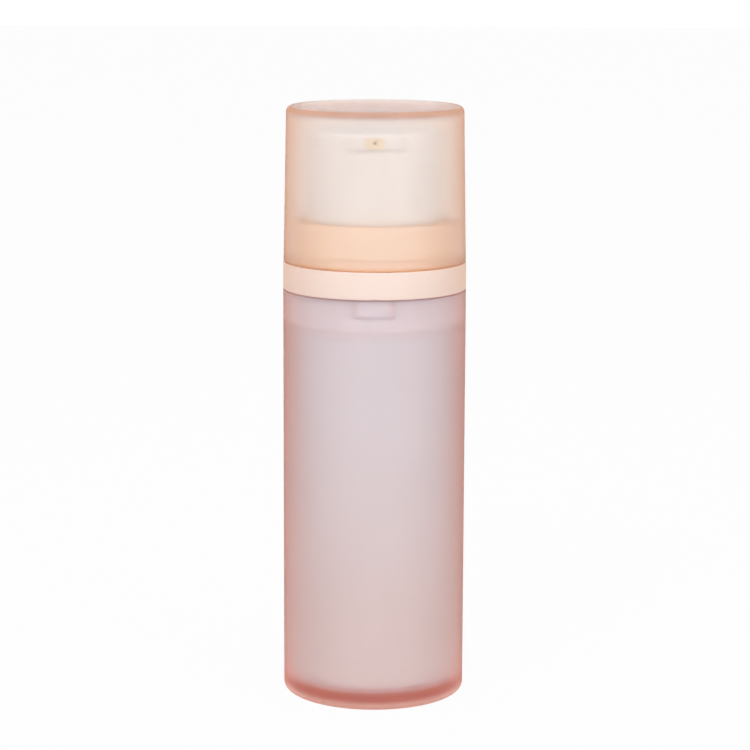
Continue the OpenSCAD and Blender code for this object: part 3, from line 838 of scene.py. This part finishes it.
@dataclass
class ProductBottle:
    """The product bottle inside the outer one, with the disc that closes its foot and its follower piston."""

    radius: float = 20.0
    bore: float = 18.8
    foot: float = 4.1
    shoulder_low: float = 91.6
    shoulder_high: float = 92.5
    drop: float = 0.8
    inner_slope: float = 0.5
    neck_radius: float = 17.35
    neck_bore: float = 15.75
    neck_top: float = 100.1
    rib_height: float = 98.1
    rib_out: float = 0.35
    notch_width: float = 2.0
    notch_height: float = 1.2
    notch_turns: tuple[int, ...] = (60, 180, 300)
    disc_radius: float = 18.7
    disc_top: float = 5.3
    disc_rim_top: float = 6.5
    disc_rim_bore: float = 17.5
    vent_radius: float = 1.5
    piston_radius: float = 18.75
    piston_waist: float = 18.05
    piston_wall: float = 1.4
    piston_low: float = 6.8
    piston_lip_top: float = 16.6
    piston_top: float = 19.0
    lip: float = 2.2
    lip_flare: float = 0.35
    lip_slant: float = 0.3
    crown: float = 15.55
    pocket: float = 7.7
    pocket_floor: float = 13.65

    def bottle(self) -> None:
        """Makes the product bottle with its vent notches."""
        shell = turned("product_bottle", [
            Corner(self.bore, self.foot),
            Corner(self.radius, self.foot, BROKEN),
            Corner(self.radius, self.shoulder_low, 0.1),
            Corner(self.neck_radius, self.shoulder_high, EASED),
            *rib(self.neck_radius, self.rib_out, self.rib_height),
            Corner(self.neck_radius, self.neck_top, EASED),
            Corner(self.neck_bore, self.neck_top, BROKEN),
            Corner(self.neck_bore, self.shoulder_high - self.drop, EASED),
            Corner(self.bore, self.shoulder_low - self.drop - self.inner_slope, 0.6),
        ])
        for turn in self.notch_turns:
            notch = block("notch", (self.bore - PAST, -self.notch_width / 2, self.foot - PAST),
                          (self.radius + PAST, self.notch_width / 2, self.foot + self.notch_height))
            notch.rotation_euler.z = math.radians(turn)
            settle(notch)
            change(shell, notch)
        hand_over(shell, PEARL_PP, Body.BOTTLE, "inner_bottle")

    def disc(self) -> None:
        """Makes the disc that closes the foot."""
        disc = turned("vented_disc", [
            Corner(self.vent_radius, self.foot),
            Corner(self.disc_radius, self.foot, EASED),
            Corner(self.disc_radius, self.disc_rim_top, BROKEN),
            Corner(self.disc_rim_bore, self.disc_rim_top, BROKEN),
            Corner(self.disc_rim_bore, self.disc_top, EASED),
            Corner(self.vent_radius, self.disc_top, BROKEN),
        ])
        hand_over(disc, PEARL_PP, Body.BOTTLE, "foot_disc")

    def piston(self) -> None:
        """Makes the follower piston with its two lips."""
        bore = self.piston_waist - self.piston_wall
        ring_low = self.piston_lip_top - self.lip
        lip_bore = bore + self.lip_flare
        crown_bore = self.crown - self.piston_wall
        hub = self.pocket + self.piston_wall
        low_lip = self.piston_low + self.lip
        piston = turned("lipped_piston", [
            Corner(0, self.pocket_floor - self.piston_wall),
            Corner(hub, self.pocket_floor - self.piston_wall, 0.5),
            Corner(hub, self.piston_top - self.piston_wall, 0.4),
            Corner(crown_bore, self.piston_top - self.piston_wall, 0.4),
            Corner(crown_bore, ring_low, EASED),
            Corner(bore, ring_low, EASED),
            Corner(bore, low_lip, EASED),
            Corner(lip_bore, self.piston_low, BROKEN),
            Corner(self.piston_radius - self.lip_slant, self.piston_low, BROKEN),
            Corner(self.piston_radius, self.piston_low + self.lip / 2, 0.25),
            Corner(self.piston_waist, low_lip, EASED),
            Corner(self.piston_waist, ring_low, EASED),
            Corner(self.piston_radius, self.piston_lip_top - self.lip / 2, 0.25),
            Corner(self.piston_radius - self.lip_slant, self.piston_lip_top, BROKEN),
            Corner(lip_bore, self.piston_lip_top, 0.2),
            Corner(self.crown, ring_low + self.piston_wall, 0.4),
            Corner(self.crown - self.lip_slant, self.piston_top, 0.5),
            Corner(self.pocket, self.piston_top, 0.4),
            Corner(self.pocket, self.pocket_floor, 0.5),
            Corner(0, self.pocket_floor),
        ])
        hand_over(piston, SOFT_WHITE_PE, Body.FOLLOWER, "follower_piston")

    def build(self) -> None:
        """Makes the three pieces."""
        self.bottle()
        self.disc()
        self.piston()


@dataclass
class CollarRing:
    """The collar: exposed flange, overcap seat, skirt, key and aiming nick."""

    skirt_radius: float = 20.4
    skirt_bore: float = 19.1
    skirt_low: float = 91.65
    rib_height: float = 93.8
    rib_out: float = 0.12
    seam: float = 101.6
    radius: float = 22.5
    seam_edge: float = 0.25
    flange_top: float = 108.3
    flange_edge: float = 0.3
    seat_radius: float = 20.1
    seat_rib_height: float = 111.1
    seat_rib_out: float = 0.2
    seat_top: float = 118.8
    lip_radius: float = 17.1
    sleeve_top: float = 117.9
    bore: float = 18.3
    ledge: float = 103.6
    key_width: float = 9.6
    key_height: float = 4.4
    key_radius: float = 21.0
    key_root: float = 19.75
    key_overlap: float = 0.5
    nick_width: float = 2.4
    nick_height: float = 0.35
    nick_depth: float = 0.4

    def build(self) -> None:
        """Makes the ring, adds the key and cuts the nick."""
        ring = turned("collar_ring", [
            Corner(self.skirt_bore, self.skirt_low, 0.05),
            Corner(self.skirt_radius, self.skirt_low, 0.05),
            *rib(self.skirt_radius, self.rib_out, self.rib_height),
            Corner(self.skirt_radius, self.seam, 0.1),
            Corner(self.radius, self.seam, self.seam_edge),
            Corner(self.radius, self.flange_top, self.flange_edge),
            Corner(self.seat_radius, self.flange_top, BROKEN),
            *rib(self.seat_radius, self.seat_rib_out, self.seat_rib_height),
            Corner(self.seat_radius, self.seat_top, 0.4),
            Corner(self.lip_radius, self.seat_top, EASED),
            Corner(self.lip_radius, self.sleeve_top),
            Corner(self.bore, self.sleeve_top),
            Corner(self.bore, self.ledge, 0.2),
            Corner(self.skirt_bore, self.ledge),
        ])
        key = turned("key", [
            Corner(self.key_root, self.seam - self.key_height),
            Corner(self.key_radius, self.seam - self.key_height, 0.2),
            Corner(self.key_radius, self.seam + self.key_overlap),
            Corner(self.key_root, self.seam + self.key_overlap),
        ])
        half = self.key_width / 2
        window = block("window", (-half, -self.radius, self.seam - self.key_height - PAST),
                       (half, -self.bore / 2, self.seam + PAST))
        change(key, window, Cut.KEEP_SHARED)
        change(ring, key, Cut.JOIN)
        sag = (self.nick_width ** 2 / 4 + self.nick_height ** 2) / (2 * self.nick_height)
        middle = self.seam + self.nick_height - sag
        nick = rod("nick", sag, (0, -self.radius + self.nick_depth, middle), (0, -self.radius - PAST, middle))
        change(ring, nick)
        hand_over(ring, PALE_PEACH, Body.BOTTLE, "collar")


@dataclass
class Head:
    """The actuator: drum with finger dish, brow with the spout, socket and inner ribs."""

    low: float = 108.3
    top: float = 140.8
    radius: float = 16.95
    top_radius: float = 16.45
    wall: float = 1.3
    edge: float = 1.2
    dish: float = 0.7
    dish_rim: float = 1.2
    dish_steps: int = 8
    ceiling: float = 138.8
    socket_low: float = 121.1
    socket_top: float = 130.0
    socket_bore: float = 3.25
    socket_wall: float = 1.2
    duct_radius: float = 0.8
    duct_wall: float = 1.0
    stem_bore: float = 1.7
    rib_wall: float = 1.0
    rib_height: float = 6.5
    brow_radius: float = 17.45
    brow_width: float = 13.6
    brow_low: float = 136.9
    brow_edge: float = 0.4
    brow_overlap: float = 0.4
    brow_depth: float = 0.9
    overlap: float = 0.3
    spout_height: float = 138.475
    insert_width: float = 4.4
    insert_tall: float = 2.75
    insert_length: float = 4.9
    insert_gap: float = 0.05
    insert_edge: float = 0.12
    orifice_wall: float = 0.5
    orifice_depth: float = 0.4
    orifice_bore: float = 0.35

    def drum(self) -> Piece:
        """Makes the drum with its dished top."""
        dish_radius = self.top_radius - self.edge - self.dish_rim
        dish = [
            Corner(dish_radius * share, self.top - self.dish * (1 - share * share))
            for share in (step / self.dish_steps for step in range(self.dish_steps, -1, -1))
        ]
        return turned("actuator_drum", [
            Corner(self.radius - self.wall, self.low, BROKEN),
            Corner(self.radius, self.low, EASED),
            Corner(self.top_radius, self.top, self.edge, 8),
            *dish,
            Corner(0, self.ceiling),
            Corner(self.top_radius - self.wall, self.ceiling, 0.5),
        ])

    def brow(self) -> Piece:
        """Makes the brow that carries the spout."""
        inner = self.top_radius - self.wall / 2
        ring = turned("brow", [
            Corner(inner, self.brow_low),
            Corner(self.brow_radius, self.brow_low, self.brow_edge),
            Corner(self.brow_radius, self.top, self.edge, 8),
            Corner(self.top_radius - self.edge - self.brow_overlap, self.top),
            Corner(inner, self.top - self.edge),
        ])
        half, front = self.brow_width / 2, self.brow_radius - self.brow_depth
        window = block("window", (-half, -self.brow_radius - PAST, self.brow_low - PAST),
                       (half, -inner / 2, self.top + PAST))
        change(ring, window, Cut.KEEP_SHARED)
        edit(ring)
        pick(ring, lambda place: abs(abs(place.x) - half) < SAME_PLACE and radius_of(place) > front)
        round_off(self.brow_edge)
        done()
        return ring

    def build_drum(self) -> None:
        """Joins the drum, brow, socket, duct and ribs, and cuts the bores and the insert's pocket."""
        drum = self.drum()
        change(drum, self.brow(), Cut.JOIN)
        outer = self.socket_bore + self.socket_wall
        into = self.ceiling + self.overlap
        change(drum, turned("socket", [
            Corner(0, self.socket_low), Corner(outer, self.socket_low, 0.2), Corner(outer, into), Corner(0, into),
        ]), Cut.JOIN)
        reach = self.top_radius - self.wall / 2
        duct_low = self.spout_height - self.duct_radius - self.duct_wall
        duct_half = self.insert_width / 2 + self.duct_wall
        change(drum, block("duct", (-duct_half, -reach, duct_low), (duct_half, 0, into)), Cut.JOIN)
        half = self.rib_wall / 2
        for low, high in (((0, -half), (reach, half)), ((-reach, -half), (0, half)), ((-half, 0), (half, reach))):
            bar = block("bar", (*low, self.ceiling - self.rib_height), (*high, into))
            change(drum, bar, Cut.JOIN)
        change(drum, rod("bore", self.socket_bore, (0, 0, self.socket_low - PAST), (0, 0, self.socket_top)))
        change(drum, rod("riser", self.stem_bore, (0, 0, self.socket_top - PAST),
                         (0, 0, self.spout_height + self.duct_radius)))
        front = self.brow_radius - self.insert_gap
        change(drum, rod("duct_bore", self.duct_radius, (0, 0, self.spout_height), (0, -front, self.spout_height)))
        wide = self.insert_width / 2 + self.insert_gap
        tall = self.insert_tall / 2 + self.insert_gap
        back = front - self.insert_length - self.insert_gap
        pocket = block("pocket", (-wide, -self.brow_radius - PAST, self.spout_height - tall),
                       (wide, -back, self.spout_height + tall))
        change(drum, pocket)
        hand_over(drum, GLOSS_WHITE, Body.HEAD, "actuator")

    def build_spout(self) -> None:
        """Makes the spout insert with its orifice and bore."""
        front = self.brow_radius - self.insert_gap
        wide, tall = self.insert_width / 2, self.insert_tall / 2
        insert = block("spout_mouth", (-wide, -front, self.spout_height - tall),
                       (wide, -front + self.insert_length, self.spout_height + tall))
        edit(insert)
        pick(insert, lambda place: abs(place.y + front) < SAME_PLACE, Pick.FACES)
        bpy.ops.mesh.inset(thickness=self.orifice_wall * MM)
        bpy.ops.mesh.extrude_region_move(TRANSFORM_OT_translate={"value": (0, self.orifice_depth * MM, 0)})
        done()
        change(insert, rod("bore", self.orifice_bore, (0, -front + self.orifice_depth - PAST / 2, self.spout_height),
                           (0, 0, self.spout_height)))
        edit(insert)
        pick(insert, lambda place: abs(place.y + front) < SAME_PLACE)
        round_off(self.insert_edge)
        done()
        hand_over(insert, SPOUT_TAN, Body.HEAD, "spout_insert")

    def build(self) -> None:
        """Makes the actuator and its spout insert."""
        self.build_drum()
        self.build_spout()


@dataclass
class Overcap:
    """The frosted overcap."""

    mouth: float = 22.4
    top_radius: float = 21.7
    low: float = 108.4
    top: float = 146.4
    wall: float = 1.8
    ceiling: float = 144.4
    edge: float = 1.55
    inner_edge: float = 1.0
    mouth_edge: float = 0.3
    rib_height: float = 109.8
    rib_in: float = 0.2

    def build(self) -> None:
        """Makes the shell with the snap rib inside its mouth."""
        bore = self.mouth - self.wall
        slope = (self.mouth - self.top_radius) / (self.top - self.low)
        shell = turned("overcap_shell", [
            Corner(0, self.ceiling),
            Corner(bore - slope * (self.ceiling - self.low), self.ceiling, self.inner_edge, 6),
            *reversed(rib(bore, -self.rib_in, self.rib_height)),
            Corner(bore, self.low, self.mouth_edge),
            Corner(self.mouth, self.low, self.mouth_edge),
            Corner(self.top_radius, self.top, self.edge, 10),
            Corner(0, self.top),
        ])
        hand_over(shell, FROSTED_PEACH, Body.CAP, "overcap")


@dataclass
class PumpParts:
    """The pump's hidden pieces: CAD meshes in their finishes, and the return spring."""

    finishes: dict[str, Finish] = field(default_factory=lambda: {
        "guide_sleeve": WHITE_PP, "pump_closure": WHITE_PP, "neck_gasket": GREY_SEAL, "neck_plug": NATURAL_PP,
        "pump_body": NATURAL_PP, "inlet_ball": STEEL, "ball_cage": NATURAL_PP, "lower_stem": NATURAL_PP,
        "pump_piston": SOFT_WHITE_PE, "upper_stem": WHITE_PP, "chaplet": NATURAL_PP,
    })
    coil_radius: float = 5.15
    wire: float = 0.9
    turns: int = 7
    foot: float = 107.8
    length: float = 12.0
    pressed: float = 7.5
    end_pitch: float = 1.4
    steps: int = 40
    crease: float = 60.0

    def rise(self, turn: float) -> float:
        """Height of the wire's middle above its start, after a number of turns."""
        span = self.length - self.wire
        if turn < 1:
            return turn * self.end_pitch
        if turn > self.turns - 1:
            return span - (self.turns - turn) * self.end_pitch
        return self.end_pitch + (turn - 1) * (span - 2 * self.end_pitch) / (self.turns - 2)

    def spring(self) -> None:
        """Winds the return spring as a round wire."""
        data = bpy.data.curves.new("coil_spring", "CURVE")
        data.dimensions = "3D"
        data.bevel_depth = self.wire / 2 * MM
        data.bevel_resolution = 4
        data.use_fill_caps = True
        line = data.splines.new("POLY")
        count = self.turns * self.steps + 1
        line.points.add(count - 1)
        for index, point in enumerate(line.points):
            turn = index / self.steps
            height = self.foot + self.wire / 2 + self.rise(turn)
            place = Matrix.Rotation(math.tau * turn, 3, "Z") @ Vector((self.coil_radius, 0, height))
            point.co = (*(place * MM), 1)
        coil = bpy.data.objects.new("coil_spring", data)
        bpy.context.scene.collection.objects.link(coil)
        take(coil)
        bpy.ops.object.convert(target="MESH")
        coil = bpy.context.object
        edit(coil)
        bpy.ops.mesh.remove_doubles(threshold=SAME_POINT)
        bpy.ops.mesh.normals_make_consistent(inside=False)
        done()
        hand_over(coil, STEEL, Body.BOTTLE, "return_spring", self.crease)
        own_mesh(coil)

    def build(self, nodes: dict[str, Piece]) -> None:
        """Dresses the CAD meshes and winds the spring.

        Args:
            nodes: the frame's CAD nodes by name.
        """
        for node, finish in self.finishes.items():
            wear(nodes[node], finish)
            log.info("%s keeps its CAD mesh in %s", node, finish.slot)
        self.spring()


# Studio


@dataclass
class Studio:
    """A pale floor, plain soft light and the camera at the photograph's angle."""

    distance: float = 624.9153
    eye: float = 191.122
    pitch: float = 0.1765
    roll: float = 0.0036
    focal_px: float = 2560.076
    frame_px: float = 750.0
    centre_px: float = 374.2852
    sensor: float = 36.0
    floor_size: float = 8.0
    sky: float = 0.65
    zenith: float = 0.75
    fade: tuple[float, float] = (0.1, 0.8)
    aim: Triple = (0.0, 0.0, 0.075)
    floor_colour: Colour = (242, 241, 240)
    floor_white: float = 0.96
    lamps: tuple[tuple[str, Triple, float, float], ...] = (
        ("key", (-0.55, -1.15, 0.95), 0.9, 7.5),
        ("fill", (0.8, -1.0, 0.45), 0.9, 3.4),
        ("top", (0.0, -0.1, 1.3), 0.8, 1.9),
    )

    def world(self) -> None:
        """Sets a soft sky that looks white to the camera and dims towards the zenith."""
        graph = Graph(bpy.data.worlds.new("soft_white"))
        bpy.context.scene.world = graph.owner
        direction = graph.add("ShaderNodeTexCoord").outputs["Generated"]
        fade = graph.span(graph.upward(direction), 1.0, self.zenith, *self.fade)
        graph.shader.inputs["Strength"].default_value = self.sky
        mix = graph.add("ShaderNodeMixShader")
        for socket, background in enumerate((graph.shader, graph.add("ShaderNodeBackground")), 1):
            graph.link(fade, background.inputs["Color"])
            graph.link(background.outputs["Background"], mix.inputs[socket])
        graph.link(graph.seen(), mix.inputs["Fac"])
        graph.link(mix.outputs["Shader"], graph.output.inputs["Surface"])

    def floor(self) -> None:
        """Lays a pale floor that fades to white."""
        clear()
        bpy.ops.mesh.primitive_plane_add(size=self.floor_size)
        floor = named("studio_floor")
        graph = Graph(bpy.data.materials.new("studio_floor"))
        graph.shader.inputs["Base Color"].default_value = linear(self.floor_colour)
        graph.shader.inputs["Roughness"].default_value = 0.9
        graph.shader.inputs["Specular IOR Level"].default_value = 0.0
        glow = graph.add("ShaderNodeEmission", Strength=1.0)
        mix = graph.add("ShaderNodeMixShader")
        share = graph.add("ShaderNodeMath", operation="MULTIPLY")
        share.inputs[1].default_value = self.floor_white
        graph.link(graph.seen(), share.inputs[0])
        graph.link(share.outputs[0], mix.inputs["Fac"])
        graph.link(graph.shader.outputs["BSDF"], mix.inputs[1])
        graph.link(glow.outputs["Emission"], mix.inputs[2])
        graph.link(mix.outputs["Shader"], graph.output.inputs["Surface"])
        dress(floor, graph.owner)

    def light(self) -> None:
        """Hangs the soft lamps, each aimed at the middle of the bottle."""
        for name, place, size, power in self.lamps:
            bpy.ops.object.light_add(type="AREA", location=place)
            lamp = named(f"{name}_lamp")
            lamp.data.shape = "DISK"
            lamp.data.size = size
            lamp.data.energy = power
            lamp.rotation_euler = (Vector(self.aim) - Vector(place)).to_track_quat("-Z", "Y").to_euler()

    def camera(self) -> None:
        """Sets the camera at the photograph's angle."""
        data = bpy.data.cameras.new("photo_camera")
        data.sensor_width = self.sensor
        data.lens = self.focal_px * self.sensor / self.frame_px
        data.shift_x = (self.frame_px / 2 - self.centre_px) / self.frame_px
        data.clip_start = 0.01
        camera = bpy.data.objects.new("photo_camera", data)
        bpy.context.scene.collection.objects.link(camera)
        camera.matrix_world = (
            Matrix.Translation(Vector((0, -self.distance, self.eye)) * MM)
            @ Matrix.Rotation(math.pi / 2 - self.pitch, 4, "X")
            @ Matrix.Rotation(self.roll, 4, "Z")
        )
        bpy.context.scene.camera = camera

    def build(self) -> None:
        """Sets up the view, floor, light and camera."""
        bpy.context.scene.view_settings.view_transform = "Standard"
        self.world()
        self.floor()
        self.light()
        self.camera()


def main() -> None:
    """Builds the sub-assemblies in order around the frame."""
    logging.basicConfig(level=logging.INFO, format="%(name)s: %(message)s")
    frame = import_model()
    OuterBottle().build()
    ProductBottle().build()
    CollarRing().build()
    PumpParts().build(frame["nodes"])
    Head().build()
    Overcap().build()
    Studio().build()


if __name__ == "__main__":
    main()
